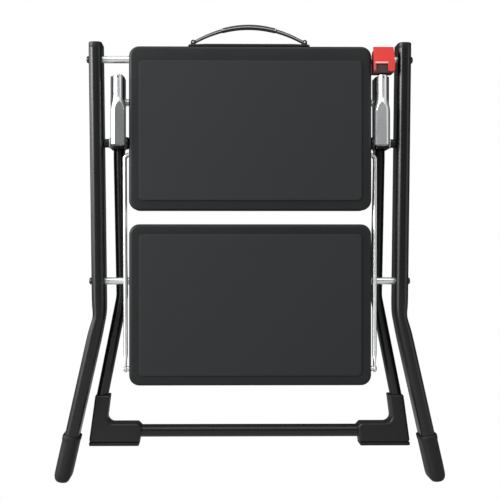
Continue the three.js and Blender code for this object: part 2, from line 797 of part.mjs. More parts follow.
// Wire link: one bent wire whose flattened ends are pinned to the lower step
const linkRun = new TubeRun([
  new THREE.Vector3(-linkBottomX, linkPinY, linkPinHeight + eyeOverlap),
  new THREE.Vector3(-linkTopX, linkTopY, linkTopHeight),
  new THREE.Vector3(linkTopX, linkTopY, linkTopHeight),
  new THREE.Vector3(linkBottomX, linkPinY, linkPinHeight + eyeOverlap),
], linkBend);
const eyeOutline = roundedOutline([
  [linkPinY - eyeHalfWidth, linkPinHeight - eyeHalfWidth, eyeHalfWidth],
  [linkPinY + eyeHalfWidth, linkPinHeight - eyeHalfWidth, eyeHalfWidth],
  [linkPinY + eyeHalfWidth, linkPinHeight + 2 * eyeOverlap, eyeHalfWidth],
  [linkPinY - eyeHalfWidth, linkPinHeight + 2 * eyeOverlap, eyeHalfWidth],
]);
const eyeHoleRadius = linkPinRadius + gap;
const eyeSlot = roundedOutline([
  [linkPinY - eyeHoleRadius, linkPinHeight - eyeHoleRadius, eyeHoleRadius],
  [linkPinY + eyeHoleRadius, linkPinHeight - eyeHoleRadius, eyeHoleRadius],
  [linkPinY + eyeHoleRadius, linkPinHeight + eyeHoleRadius + linkPlay, eyeHoleRadius],
  [linkPinY - eyeHoleRadius, linkPinHeight + eyeHoleRadius + linkPlay, eyeHoleRadius],
]);
const eyeInner = linkBottomX - eyeThickness / 2;
const eyeOuter = linkBottomX + eyeThickness / 2;
const eyes = sides.map(([, sign]) => mirrored(alongX(eyeOutline, eyeInner, eyeOuter), sign));
const eyeSlots = sides.map(([, sign]) => (
  mirrored(alongX(eyeSlot, eyeInner - overrun, eyeOuter + overrun), sign)
));
add('link_wire', cut(join([tube(circle(linkRadius), linkRun), ...eyes]), eyeSlots), zinc());

const pinInner = lowerStepWidth / 2 - 2 * stepWall;
const linkRivet = join([
  rodX(linkPinRadius, pinInner, eyeOuter + gap + linkHeadThickness / 2, linkPinY, linkPinHeight),
  rodX(linkCollarRadius, lowerStepWidth / 2 + gap, eyeInner - gap, linkPinY, linkPinHeight),
  rodX(linkHeadRadius, eyeOuter + gap, eyeOuter + gap + linkHeadThickness, linkPinY, linkPinHeight),
]);

const clipOutline = roundedOutline([
  [camRoot, linkTopHeight - clipHeight / 2, 0],
  [linkTopY + linkRadius + clipLand, linkTopHeight - clipHeight / 2, clipLand],
  [linkTopY + linkRadius + clipLand, linkTopHeight + clipHeight / 2, clipLand],
  [camRoot, linkTopHeight + clipHeight / 2, 0],
]);
const wireBearing = cut(alongX(clipOutline, clipX, clipX + clipWidth), [
  across(linkRadius + gap, stepWidth / 2, linkTopY, linkTopHeight),
]);
sides.forEach(([side, sign]) => {
  add(`link_rivet_${side}`, mirrored(linkRivet, sign), blackPaint());
  add(`wire_bearing_${side}`, mirrored(wireBearing, sign), blackPlastic());
});

// Handle: a moulded strap on a base along the upper step's rear edge
const handleFoot = upperStepTop + gap;
const handleTop = handleFoot + handleBaseRise;
const baseOutline = roundedOutline([
  [-handleLength / 2, handleFoot, 0],
  [handleLength / 2, handleFoot, 0],
  [handleLength / 2, handleTop, handleBaseRise / 2],
  [-handleLength / 2, handleTop, handleBaseRise / 2],
]);
const pinHeight = handleTop + lugRise;
const lugInner = strapDepth / 2 + gap;
const lugOuter = lugInner + lugThickness;
const lugOutline = roundedOutline([
  [strapEndX - lugRadius, handleFoot, 0],
  [strapEndX + lugRadius, handleFoot, 0],
  [strapEndX + lugRadius, pinHeight + lugRadius, lugRadius],
  [strapEndX - lugRadius, pinHeight + lugRadius, lugRadius],
]);
const pinY = (radius, reach) => {
  const rod = new THREE.CylinderGeometry(radius, radius, 2 * reach, roundSegments);
  return rod.translate(strapEndX, handleY, pinHeight);
};
const lugs = sides.flatMap(([, sign]) => sides.map(([, face]) => {
  const lug = alongY(lugOutline, lugInner, lugOuter);
  return mirrored(lug.scale(1, face, 1).translate(0, handleY, 0), sign);
}));
const pinHoles = sides.map(([, sign]) => mirrored(pinY(handlePinRadius + gap, lugOuter + overrun), sign));
const baseNotch = roundedOutline([
  [strapEndX - 2 * lugRadius, handleFoot + handleBaseFloor, 0],
  [strapEndX + 2 * lugRadius, handleFoot + handleBaseFloor, 0],
  [strapEndX + 2 * lugRadius, handleTop + overrun, 0],
  [strapEndX - 2 * lugRadius, handleTop + overrun, 0],
]);
const baseNotches = sides.map(([, sign]) => (
  mirrored(alongY(baseNotch, handleY - lugInner, handleY + lugInner), sign)
));
const baseStrip = alongY(baseOutline, handleY - handleBaseDepth / 2, handleY + handleBaseDepth / 2);
const seated = (geometry) => geometry.translate(handleX, 0, 0);
add('handle_base', seated(cut(join([baseStrip, ...lugs]), [...baseNotches, ...pinHoles])), blackPlastic());

// The strap is a bow whose middle line is a parabola between the two pins
const strapMiddle = (x) => pinHeight + strapRise * (1 - (x / strapEndX) ** 2);
const bandOutline = (length, thickness, steps) => {
  const upper = [];
  const lower = [];
  for (let k = 0; k <= steps; k += 1) {
    const x = length * (k / steps - 1 / 2);
    const slope = (-2 * strapRise * x) / strapEndX ** 2;
    const lean = Math.hypot(1, slope);
    const offset = new THREE.Vector2(-slope / lean, 1 / lean).multiplyScalar(thickness / 2);
    const point = new THREE.Vector2(x, strapMiddle(x));
    upper.push(point.clone().add(offset));
    lower.unshift(point.clone().sub(offset));
  }
  return new THREE.Shape([...upper, ...lower]);
};
const strapSteps = 24;
const gripSteps = 12;
const strapEyes = sides.map(([, sign]) => mirrored(pinY(lugRadius - gap, strapDepth / 2), sign));
const strapBand = alongY(bandOutline(2 * strapEndX, strapThickness, strapSteps), handleY - strapDepth / 2,
  handleY + strapDepth / 2);
const gripBore = alongY(bandOutline(2 * strapEndX, strapThickness + 2 * gap, strapSteps),
  handleY - strapDepth / 2 - gap, handleY + strapDepth / 2 + gap);
const gripBody = alongY(bandOutline(gripLength, gripThickness, gripSteps), handleY - gripDepth / 2,
  handleY + gripDepth / 2);
add('handle_strap', seated(cut(join([strapBand, ...strapEyes]), pinHoles)), blackPlastic());
add('handle_grip', seated(cut(gripBody, [gripBore])), blackRubber());
sides.forEach(([side, sign]) => {
  add(`handle_pin_${side}`, seated(mirrored(pinY(handlePinRadius, lugOuter), sign)), zinc());
});

// Lock lever: a red block on the top axle whose legs straddle the right end tube's neck
const latchOutline = roundedOutline([
  [latchInnerX, latchBottom, 0],
  [latchInnerX + latchInnerLeg, latchBottom, 0],
  [latchInnerX + latchInnerLeg, latchWindowTop, 0],
  [latchOuterX - latchOuterLeg, latchWindowTop, 0],
  [latchOuterX - latchOuterLeg, latchBottom, 0],
  [latchOuterX, latchBottom, 0],
  [latchOuterX, latchTop, 0],
  [latchInnerX + latchChamfer, latchTop, 0],
  [latchInnerX, latchTop - latchChamfer, 0],
]);
const latchSide = roundedOutline([
  [latchFront, latchBottom - overrun, 0],
  [latchBack - latchChamfer, latchBottom - overrun, 0],
  [latchBack, latchWindowTop - latchChamfer, latchChamfer],
  [latchBack, latchTop, 2 * latchChamfer],
  [latchFront, latchTop, latchChamfer],
]);
const latchBlock = toSolid(alongY(latchOutline, latchFront - overrun, latchBack + overrun))
  .intersect(toSolid(alongX(latchSide, latchInnerX - overrun, latchOuterX + overrun)));
add('lock_latch', cut(toGeometry(latchBlock), [
  rodX(axleRadius + gap, latchInnerX - overrun, latchOuterX + overrun, 0, topAxleHeight),
]), redPlastic());

// The origin is under the middle of the whole stool, on the floor
const bounds = new THREE.Box3().setFromObject(stool);
const middle = bounds.getCenter(new THREE.Vector3());
stool.position.set(-middle.x, -middle.y, -bounds.min.z);

export default stool;
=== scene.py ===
# Looks of a folding step stool: black tube frame, two steps, zinc links, a strap handle and a red lock lever.
# Metres, +Z up, the steps face -Y; the stool stands folded and upright on its front feet.
import math

import bmesh
import bpy
import numpy as np
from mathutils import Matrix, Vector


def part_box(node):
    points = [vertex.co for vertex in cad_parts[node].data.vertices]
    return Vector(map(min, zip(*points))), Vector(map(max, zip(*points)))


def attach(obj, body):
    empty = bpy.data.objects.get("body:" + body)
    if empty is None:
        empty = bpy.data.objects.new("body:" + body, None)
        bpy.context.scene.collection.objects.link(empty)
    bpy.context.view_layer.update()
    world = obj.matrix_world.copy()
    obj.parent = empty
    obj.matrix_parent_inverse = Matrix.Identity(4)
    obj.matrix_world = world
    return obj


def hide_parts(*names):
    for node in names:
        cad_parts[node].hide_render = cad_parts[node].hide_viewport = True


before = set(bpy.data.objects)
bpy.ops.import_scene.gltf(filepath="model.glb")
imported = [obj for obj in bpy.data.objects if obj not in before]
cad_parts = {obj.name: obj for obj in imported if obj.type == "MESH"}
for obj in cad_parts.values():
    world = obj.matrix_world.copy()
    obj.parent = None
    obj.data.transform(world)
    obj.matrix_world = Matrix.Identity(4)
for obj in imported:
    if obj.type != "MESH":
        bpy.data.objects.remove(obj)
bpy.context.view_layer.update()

# Camera and room
# The photograph is taken level with the middle of the stool, a little left of its centre line, from about a
# metre, against white. Three soft boxes stand at the left, a weaker one at the right, and one hangs overhead.
axle_low, axle_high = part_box("top_axle")
axle_y = (axle_low.y + axle_high.y) / 2
axle_z = (axle_low.z + axle_high.z) / 2

camera_distance, camera_side, camera_height = 1.05, -0.05, 0.2918
camera_yaw, camera_shift_pixels = 0.01, 31.2
photo_focal_pixels = 826.8
photo_width_pixels = 500
sensor_millimetres = 36

camera_data = bpy.data.cameras.new("camera")
camera_data.sensor_width = sensor_millimetres
camera_data.lens = sensor_millimetres * photo_focal_pixels / photo_width_pixels
camera_data.shift_x = camera_shift_pixels / photo_width_pixels
camera = bpy.data.objects.new("camera", camera_data)
camera.location = (camera_side, axle_y - camera_distance, camera_height)
camera.rotation_euler = (math.pi / 2, 0, -camera_yaw)
bpy.context.scene.collection.objects.link(camera)
bpy.context.scene.camera = camera
bpy.context.scene.view_settings.view_transform = "Standard"


def soft_box(name, place, aim, width, height, power):
    """A rectangular area lamp at place, its face turned to aim."""
    data = bpy.data.lights.new(name, "AREA")
    data.shape = "RECTANGLE"
    data.size = width
    data.size_y = height
    data.energy = power
    lamp = bpy.data.objects.new(name, data)
    lamp.location = place
    direction = np.subtract(aim, place)
    flat = math.hypot(direction[0], direction[1])
    lamp.rotation_euler = (math.atan2(flat, -direction[2]), 0, math.atan2(-direction[0], direction[1]))
    bpy.context.scene.collection.objects.link(lamp)


# Each soft box's name, place, width, height and power in watts.
soft_boxes = (
    ("left_box", (-1.5, -1.05, 1.1), 1.1, 0.9, 40),
    ("left_low_box", (-1.5, -1.05, 0.3), 1.1, 0.7, 7),
    ("left_side_box", (-1.8, 0.1, 0.9), 1.0, 1.3, 14),
    ("right_box", (1.5, -0.95, 0.6), 1.0, 1.6, 5),
    ("top_box", (0, -0.7, 1.7), 1.6, 2.0, 16),
)
stool_middle = (0, 0, 0.28)
for name, place, width, height, power in soft_boxes:
    soft_box(name, place, stool_middle, width, height, power)

# The room is white to the camera and dim to everything that it lights.
room_tint, room_strength = (0.94, 0.97, 1.0, 1), 0.15
world = bpy.data.worlds.new("room")
world.use_nodes = True
bpy.context.scene.world = world
room = world.node_tree
room.nodes.clear()
room_out = room.nodes.new("ShaderNodeOutputWorld")
room_mix = room.nodes.new("ShaderNodeMixShader")
room_path = room.nodes.new("ShaderNodeLightPath")
room_dim = room.nodes.new("ShaderNodeBackground")
room_dim.inputs["Color"].default_value = room_tint
room_dim.inputs["Strength"].default_value = room_strength
room_white = room.nodes.new("ShaderNodeBackground")
room_white.inputs["Color"].default_value = (1, 1, 1, 1)
room_white.inputs["Strength"].default_value = 1.0
room.links.new(room_path.outputs["Is Camera Ray"], room_mix.inputs["Fac"])
room.links.new(room_dim.outputs[0], room_mix.inputs[1])
room.links.new(room_white.outputs[0], room_mix.inputs[2])
room.links.new(room_mix.outputs[0], room_out.inputs["Surface"])


# Floor
# A white paper sweep: flat under the stool, curving up into the backdrop. The camera sees it evenly white. To
# the rest of the scene it is matt grey, and its nearer part shows pale in glossy surfaces.
sweep_front, sweep_back, sweep_side, sweep_curve, sweep_rise = -3.0, 2.2, 4.0, 1.2, 3
sweep_steps = 24
# In glossy surfaces the paper glows by the glint's strength, which fades to none between two distances back.
paper_grey, glint_near, glint_far, glint_strength = 0.3, 0.1, 0.7, 0.45
turn = np.linspace(0, math.pi / 2, sweep_steps)
sweep_y = np.concatenate([[sweep_front], sweep_back + sweep_curve * np.sin(turn), [sweep_back + sweep_curve]])
sweep_z = np.concatenate([[0], sweep_curve * (1 - np.cos(turn)), [sweep_curve + sweep_rise]])
sweep_points = np.array([(x, y, z) for x in (-sweep_side, sweep_side) for y, z in zip(sweep_y, sweep_z)])
count = len(sweep_y)
sweep_faces = [(i, i + 1, count + i + 1, count + i) for i in range(count - 1)]
sweep_mesh = bpy.data.meshes.new("floor")
sweep_mesh.from_pydata(sweep_points.tolist(), [], sweep_faces)
sweep_mesh.shade_smooth()
floor = bpy.data.objects.new("floor", sweep_mesh)
bpy.context.scene.collection.objects.link(floor)

paper = bpy.data.materials.new("paper")
paper.use_nodes = True
paper_nodes, paper_links = paper.node_tree.nodes, paper.node_tree.links
paper_nodes.clear()
paper_out = paper_nodes.new("ShaderNodeOutputMaterial")
paper_mix = paper_nodes.new("ShaderNodeMixShader")
paper_path = paper_nodes.new("ShaderNodeLightPath")
paper_seen = paper_nodes.new("ShaderNodeMath")
paper_seen.operation = "MAXIMUM"
paper_near = paper_nodes.new("ShaderNodeMapRange")
paper_near.inputs["From Min"].default_value = glint_near
paper_near.inputs["From Max"].default_value = glint_far
paper_near.inputs["To Min"].default_value = glint_strength
paper_near.inputs["To Max"].default_value = 0.0
paper_place = paper_nodes.new("ShaderNodeTexCoord")
paper_split = paper_nodes.new("ShaderNodeSeparateXYZ")
paper_glint = paper_nodes.new("ShaderNodeMath")
paper_glint.operation = "MULTIPLY"
paper_matt = paper_nodes.new("ShaderNodeBsdfDiffuse")
paper_matt.inputs["Color"].default_value = (paper_grey, paper_grey, paper_grey, 1)
paper_glow = paper_nodes.new("ShaderNodeEmission")
paper_glow.inputs["Strength"].default_value = 1.0
paper_links.new(paper_path.outputs["Is Camera Ray"], paper_seen.inputs[0])
paper_links.new(paper_place.outputs["Object"], paper_split.inputs[0])
paper_links.new(paper_split.outputs["Y"], paper_near.inputs["Value"])
paper_links.new(paper_path.outputs["Is Glossy Ray"], paper_glint.inputs[0])
paper_links.new(paper_near.outputs["Result"], paper_glint.inputs[1])
paper_links.new(paper_glint.outputs[0], paper_seen.inputs[1])
paper_links.new(paper_seen.outputs[0], paper_mix.inputs["Fac"])
paper_links.new(paper_matt.outputs[0], paper_mix.inputs[1])
paper_links.new(paper_glow.outputs[0], paper_mix.inputs[2])
paper_links.new(paper_mix.outputs[0], paper_out.inputs["Surface"])
sweep_mesh.materials.append(paper)


# Front legs
# Flat-oval steel tubes with one outward bend, powder coated satin black, with a plastic cap in the top and a
# rubber boot on the foot. The two axles and the pivots of the rear frame pass through them.
millimetre, top_axle = 0.001, 534
drawing_zero = np.array([0, axle_y, axle_z - top_axle * millimetre])
sides = (("left", -1), ("right", 1))
weld_distance, sharp_angle, corner_points = 1e-6, math.radians(38), 10


def drawn_box(node):
    """The box of one of the frame's nodes, in the drawing's millimetres: its least and greatest (x, y, z)."""
    return (np.array(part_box(node)) - drawing_zero) / millimetre


def surface(name, rings, wrap=False):
    """Joins an array of rings of points (rings x points x 3) with four-sided faces. Each ring closes on
    itself. The last joins the first with wrap; otherwise both are closed with one flat face. The points are
    in millimetres from the centre line, the axles' plane and the floor."""
    count, around = rings.shape[:2]
    index = np.arange(count * around).reshape(count, around)
    if wrap:
        index = np.vstack([index, index[:1]])
    beside = np.roll(index, -1, axis=1)
    quads = np.stack([index[:-1], beside[:-1], beside[1:], index[1:]], axis=-1).reshape(-1, 4)
    faces = quads.tolist()
    if not wrap:
        faces += [index[0].tolist(), index[-1][::-1].tolist()]
    mesh = bpy.data.meshes.new(name)
    mesh.from_pydata((rings.reshape(-1, 3) * millimetre + drawing_zero).tolist(), [], faces)
    tidy = bmesh.new()
    tidy.from_mesh(mesh)
    bmesh.ops.remove_doubles(tidy, verts=tidy.verts, dist=weld_distance)
    bmesh.ops.recalc_face_normals(tidy, faces=tidy.faces)
    tidy.to_mesh(mesh)
    tidy.free()
    mesh.shade_smooth()
    for face in mesh.polygons:
        face.use_smooth = len(face.vertices) <= 4
    mesh.set_sharp_from_angle(angle=sharp_angle)
    piece = bpy.data.objects.new(name, mesh)
    bpy.context.scene.collection.objects.link(piece)
    return piece


def dress(piece, material, body, slot, *nodes):
    """Gives a piece its material and body, and hides the CAD nodes that it stands for. The slot is not used.
    """
    piece.data.materials.clear()
    piece.data.materials.append(material)
    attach(piece, body)
    if nodes:
        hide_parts(*nodes)
    return piece


def swept(section, spine, across=(0, 1, 0)):
    """Carries a section of (u, v) points along a spine: u runs along across, v square to it and to the spine.
    The section may be one for all the spine's points, or one for each."""
    along = np.gradient(spine, axis=0)
    along /= np.linalg.norm(along, axis=1, keepdims=True)
    u = np.array(across) - (along @ np.array(across))[:, None] * along
    u /= np.linalg.norm(u, axis=1, keepdims=True)
    v = np.cross(along, u)
    return spine[:, None] + section[..., :1] * u[:, None] + section[..., 1:] * v[:, None]


def run(corners, radius, arc_points=14):
    """A tube's centre line: straight between its corners, with an arc of one radius at each inner corner. The
    arc starts radius x tan(half the turn) before the corner."""
    corners = np.array(corners, float)
    points = [corners[:1]]
    for before, here, after in zip(corners[:-2], corners[1:-1], corners[2:]):
        into = (here - before) / np.linalg.norm(here - before)
        out = (after - here) / np.linalg.norm(after - here)
        angle = math.acos(np.clip(into @ out, -1, 1))
        inward = out - (into @ out) * into
        inward /= np.linalg.norm(inward)
        start = here - into * radius * math.tan(angle / 2)
        a = np.linspace(0, angle, arc_points)[:, None]
        points.append(start + inward * radius * (1 - np.cos(a)) + into * radius * np.sin(a))
    points.append(corners[-1:])
    return np.concatenate(points)


def spread(spine, step=8):
    """The same line with its long straights divided, so that no stretch is longer than step."""
    length = np.linalg.norm(np.diff(spine, axis=0), axis=1)
    parts = np.maximum(1, np.ceil(length / step).astype(int))
    pieces = [a + (b - a) * np.arange(k)[:, None] / k for a, b, k in zip(spine[:-1], spine[1:], parts)]
    return np.concatenate(pieces + [spine[-1:]])


def rounded(width, height, radius):
    """A rectangle about the origin as (u, v) points, with a quarter of a circle at each corner."""
    a = np.linspace(0, math.pi / 2, corner_points)
    arc = np.stack([np.cos(a), np.sin(a)], axis=1) * radius
    u, v = width / 2 - radius, height / 2 - radius
    corners = []
    for k, (x, y) in enumerate([(u, v), (-u, v), (-u, -v), (u, -v)]):
        c, s = math.cos(k * math.pi / 2), math.sin(k * math.pi / 2)
        corners.append(arc @ np.array([[c, s], [-s, c]]) + (x, y))
    return np.concatenate(corners)


def tube(name, spine, outer, inner):
    """A tube with a wall: the outer surface down the spine, then the bore back up it."""
    return surface(name, np.concatenate([swept(outer, spine), swept(inner, spine)[::-1]]), wrap=True)


def leg_section(margin):
    """The front leg's section grown by a margin: its corners are rounder in front than behind."""
    front, back = (rounded(leg_depth + 2 * margin, leg_width + 2 * margin, max(radius + margin, least_corner))
                   for radius in (leg_front_corner, leg_back_corner))
    return np.concatenate([back[:corner_points], front[corner_points:-corner_points], back[-corner_points:]])


def sleeved(section, start, along, profile):
    """Rings about an axis from start along a direction: a section grown by a margin at each distance of a
    profile of (distance, margin)."""
    along = np.array(along) / np.linalg.norm(along)
    spine = np.array([np.array(start) + along * distance for distance, _ in profile])
    sections = np.array([section(margin) for _, margin in profile])
    u = np.array([0, 1, 0])
    v = np.cross(along, u)
    return spine[:, None] + sections[..., :1] * u + sections[..., 1:] * v


def quarter(radius, points):
    """A quarter of a circle as (height, inset): how far an edge is drawn in at each height above a face."""
    a = np.linspace(0, math.pi / 2, points)
    return [(radius * (1 - math.cos(t)), radius * (1 - math.sin(t))) for t in a]


def coat(name, colour, roughness, grain, grain_height, cloud=0.12, metallic=0.0, specular=0.5):
    """A finish with a fine surface grain, faint clouds in its colour and a roughness that varies with them.
    The grain is a count per metre and its height is in metres. The colour varies by the share cloud."""
    material = bpy.data.materials.new(name)
    material.use_nodes = True
    nodes, links = material.node_tree.nodes, material.node_tree.links
    shader = nodes["Principled BSDF"]
    place = nodes.new("ShaderNodeTexCoord")
    fine = nodes.new("ShaderNodeTexNoise")
    fine.inputs["Scale"].default_value = grain
    fine.inputs["Detail"].default_value = grain_detail
    broad = nodes.new("ShaderNodeTexNoise")
    broad.inputs["Scale"].default_value = clouds_per_metre
    broad.inputs["Detail"].default_value = cloud_detail
    shade = nodes.new("ShaderNodeMapRange")
    shade.inputs["To Min"].default_value = 1 - cloud
    shade.inputs["To Max"].default_value = 1 + cloud
    tint = nodes.new("ShaderNodeVectorMath")
    tint.operation = "SCALE"
    tint.inputs[0].default_value = colour
    rough = nodes.new("ShaderNodeMapRange")
    rough.inputs["To Min"].default_value = roughness * (1 - rough_share)
    rough.inputs["To Max"].default_value = roughness * (1 + rough_share)
    bump = nodes.new("ShaderNodeBump")
    bump.inputs["Strength"].default_value = grain_strength
    bump.inputs["Distance"].default_value = grain_height
    for texture in (fine, broad):
        links.new(place.outputs["Object"], texture.inputs["Vector"])
    links.new(broad.outputs["Fac"], shade.inputs["Value"])
    links.new(shade.outputs["Result"], tint.inputs["Scale"])
    links.new(tint.outputs["Vector"], shader.inputs["Base Color"])
    links.new(broad.outputs["Fac"], rough.inputs["Value"])
    links.new(rough.outputs["Result"], shader.inputs["Roughness"])
    links.new(fine.outputs["Fac"], bump.inputs["Height"])
    links.new(bump.outputs["Normal"], shader.inputs["Normal"])
    shader.inputs["Metallic"].default_value = metallic
    shader.inputs["Specular IOR Level"].default_value = specular
    return material


clouds_per_metre, cloud_detail, grain_detail, grain_strength, rough_share = 26, 4, 3, 0.6, 0.12
powder_black = coat("powder_black", (0.0050, 0.0053, 0.0055), 0.28, 500, 0.000004)
moulded_black = coat("moulded_black", (0.006, 0.0063, 0.0066), 0.42, 700, 0.00003, specular=0.45)
boot_rubber = coat("boot_rubber", (0.008, 0.0084, 0.0088), 0.58, 600, 0.00005, specular=0.35)

leg_width, leg_wall = 17, 1.2
leg_front, leg_back = drawn_box("front_leg_right")[:, 1]
leg_depth = leg_back - leg_front
leg_front_corner, leg_back_corner, least_corner = 7.0, 3.6, 0.5
leg_top_x, leg_bend_x, leg_top, leg_bend, leg_foot = 194.9, 190.7, 546.7, 210.6, 10.4
leg_splay, leg_bend_radius, leg_step = math.radians(12.7), 60, 4
leg_foot_x = leg_bend_x + (leg_bend - leg_foot) * math.tan(leg_splay)
# The bend pinches the tube a little: by this share of its width, over this reach above and below its height.
pinch_height, pinch_reach, pinch_share, pinch_shift = 206, 13, 0.12, 0.4
# The cap and the boot, from inside to outside: distances along the leg from its end, each with its margin.
cap_profile = [
    (-7, -1.5), (-0.4, -1.5), (-0.1, -0.3), (0.3, -0.1), (5.8, -0.1), (6.6, -0.15), (7.1, -0.4), (7.3, -0.9),
]
boot_profile = [
    (-10.4, -5.5), (-9.8, -3.1), (-8.6, -1.3), (-6.4, 0.4), (-3.4, 1.4), (0.5, 1.8), (10, 1.9), (34, 1.9),
    (42.4, 1.9), (43.1, 2.0), (43.8, 2.4), (48.9, 2.5), (49.7, 2.2), (50.2, 1.5), (50.1, -0.1), (46, -0.2),
]
for side, sign in sides:
    top = np.array([sign * leg_top_x, 0, leg_top])
    bend = np.array([sign * leg_bend_x, 0, leg_bend])
    foot = np.array([sign * leg_foot_x, 0, leg_foot])
    line = spread(run([top, bend, foot], leg_bend_radius), leg_step)
    pinch = np.exp(-((line[:, 2] - pinch_height) / pinch_reach) ** 2)[:, None]
    narrowed = np.concatenate([np.ones_like(pinch), 1 - pinch_share * pinch], axis=1)[:, None]
    line[:, :1] -= sign * pinch_shift * pinch
    leg = tube(f"front_tube_{side}", line, leg_section(0) * narrowed, leg_section(-leg_wall) * narrowed)
    dress(leg, powder_black, "front_frame", "black_paint", f"front_leg_{side}")
    cap = surface(f"cap_{side}", sleeved(leg_section, top, top - bend, cap_profile))
    dress(cap, moulded_black, "front_frame", "black_plastic", f"leg_cap_{side}")
    boot = surface(f"boot_{side}", sleeved(leg_section, foot, bend - foot, boot_profile))
    dress(boot, boot_rubber, "front_frame", "black_rubber", f"foot_{side}")


# Axles and pivots
# Zinc-plated rods through both legs, each with a black domed head outside the leg. Below the top axle a short
# bolt with a plastic spacer and a thin washer joins each leg to the rear frame.
def turned(name, profile, centre, axis="x", points=40):
    """Turns a profile of (distance, radius) about the x or y axis through a point; it starts and ends at the
    axis, or closes on itself where its first and last radius are above zero."""
    a = np.linspace(0, 2 * math.pi, points, endpoint=False)
    profile = np.array(profile, float)
    distance, radius = profile[:, :1] + 0 * a, profile[:, 1:]
    across, upward = radius * np.cos(a), radius * np.sin(a)
    order = (distance, across, upward) if axis == "x" else (upward, distance, across)
    return surface(name, np.stack(order, axis=-1) + np.array(centre), wrap=profile[0, 1] > 0)


def domed(outer, radius, rise, points=9):
    """The profile of a pin's domed end: distance = outer - rise (1 - sin t), radius = radius sqrt(cos t)."""
    a = np.linspace(0, math.pi / 2, points)[:-1]
    return [(outer - rise + rise * math.sin(t), radius * math.sqrt(math.cos(t))) for t in a] + [(outer, 0)]


def mirrored(profile, sign):
    """The same profile for the right or, turned about, for the left."""
    return [(sign * distance, radius) for distance, radius in profile]


def ring_profile(inner, outer, bore, radius, edge):
    """The profile of a ring between two distances, with a bevelled edge at both ends of its outside."""
    return [(inner, bore), (inner, radius - edge), (inner + edge, radius), (outer - edge, radius),
            (outer, radius - edge), (outer, bore)]


zinc_plate = coat("zinc_plate", (0.90, 0.92, 0.93), 0.33, 1400, 0.000004, cloud=0.05, metallic=0.9)

leg_lean = (leg_top_x - leg_bend_x) / (leg_top - leg_bend)
rod_least, rod_greatest = drawn_box("lower_axle")
lower_axle, axle_radius = (rod_least[2] + rod_greatest[2]) / 2, (rod_greatest[2] - rod_least[2]) / 2
head_gap, head_radius, head_rim, head_seat, head_end, head_rise = 0.3, 4.5, 4.6, 1.2, 3.9, 2.5
head_profile = [
    (head_gap, 0), (head_gap, head_radius), (head_seat, head_rim), *domed(head_end, head_radius, head_rise),
]
for name, height in (("top_axle", top_axle), ("lower_axle", lower_axle)):
    outer = leg_bend_x + (height - leg_bend) * leg_lean + leg_width / 2
    rod_profile = [(-outer, 0), (-outer, axle_radius), (outer, axle_radius), (outer, 0)]
    rod = turned(f"{name}_rod", rod_profile, (0, 0, height))
    dress(rod, zinc_plate, "front_frame", "zinc", name)
    for side, sign in sides:
        head = turned(f"{name}_dome_{side}", mirrored(head_profile, sign), (sign * outer, 0, height))
        dress(head, powder_black, "front_frame", "black_paint", f"{name}_head_{side}")

bolt_least, bolt_greatest = drawn_box("pivot_bolt_right")
pivot_height, pivot_gap = (bolt_least[2] + bolt_greatest[2]) / 2, 0.3
(bracket_inner, bracket_front, bracket_low), (bracket_outer, bracket_back, bracket_top) = (
    drawn_box("leg_bracket_right"))
pivot_leg = leg_bend_x + (pivot_height - leg_bend) * leg_lean
bolt_radius, bolt_head, pivot_bore = 3, 4.2, 3.2
washer_thickness, washer_radius, washer_edge = 1.2, 6.6, 0.2
spacer_radius, spacer_edge = 5.5, 0.4
bolt_seat = bracket_inner - pivot_gap
bolt_profile = [
    (bolt_seat - bolt_head, 0), (bolt_seat - bolt_head, 5.4), (bolt_seat - 3.7, 7.2), (bolt_seat - 2.6, 7.9),
    (bolt_seat, 8), (bolt_seat, bolt_radius), (pivot_leg, bolt_radius), (pivot_leg, 0),
]
washer_in = bracket_outer + pivot_gap
washer_out = washer_in + washer_thickness
washer_profile = ring_profile(washer_in, washer_out, pivot_bore, washer_radius, washer_edge)
spacer_in, spacer_out = washer_out + pivot_gap, pivot_leg - leg_width / 2 - pivot_gap
spacer_profile = ring_profile(spacer_in, spacer_out, pivot_bore, spacer_radius, spacer_edge)
for side, sign in sides:
    bolt = turned(f"pivot_pin_{side}", mirrored(bolt_profile, sign), (0, 0, pivot_height))
    dress(bolt, powder_black, "front_frame", "black_paint", f"pivot_bolt_{side}")
    washer = turned(f"thin_washer_{side}", mirrored(washer_profile, sign), (0, 0, pivot_height))
    dress(washer, zinc_plate, "front_frame", "zinc", f"pivot_washer_{side}")
    spacer = turned(f"spacer_{side}", mirrored(spacer_profile, sign), (0, 0, pivot_height))
    dress(spacer, moulded_black, "front_frame", "black_plastic", f"pivot_spacer_{side}")


# Rear legs and crossbar
# Round steel tubes behind the front legs, bent outward the same way and joined near the floor by a round
# crossbar. A channel folded from black sheet steel is riveted to the top of each.
(_, rear_front, _), (_, rear_back, rear_top) = drawn_box("rear_leg_right")
rear_width, rear_y = rear_back - rear_front, (rear_front + rear_back) / 2
rear_top_x, rear_bend_x, rear_bend, rear_splay, rear_bend_radius = 167, 163.4, 233, math.radians(11.3), 55
(_, _, bar_low), (_, _, bar_top) = drawn_box("rear_crossbar")
bar_height, bar_width, bar_end = (bar_low + bar_top) / 2, bar_top - bar_low, 163.7
(_, foot_front, _), (_, foot_back, foot_top) = drawn_box("corner_foot_right")
foot_socket = 26
bracket_x, bracket_wall, bracket_bend, straight_below = 167.7, 1.5, 2.6, 10
bracket_half = bracket_outer - bracket_x


def rear_x(height):
    """How far the rear legs stand from the centre line, below their bend."""
    return rear_bend_x + (rear_bend - height) * math.tan(rear_splay)


def round_tube(name, spine, width):
    """A round tube with the front legs' wall, its circles carried along a spine."""
    bore = width - 2 * leg_wall
    return tube(name, spread(spine), rounded(width, width, width / 2), rounded(bore, bore, bore / 2))


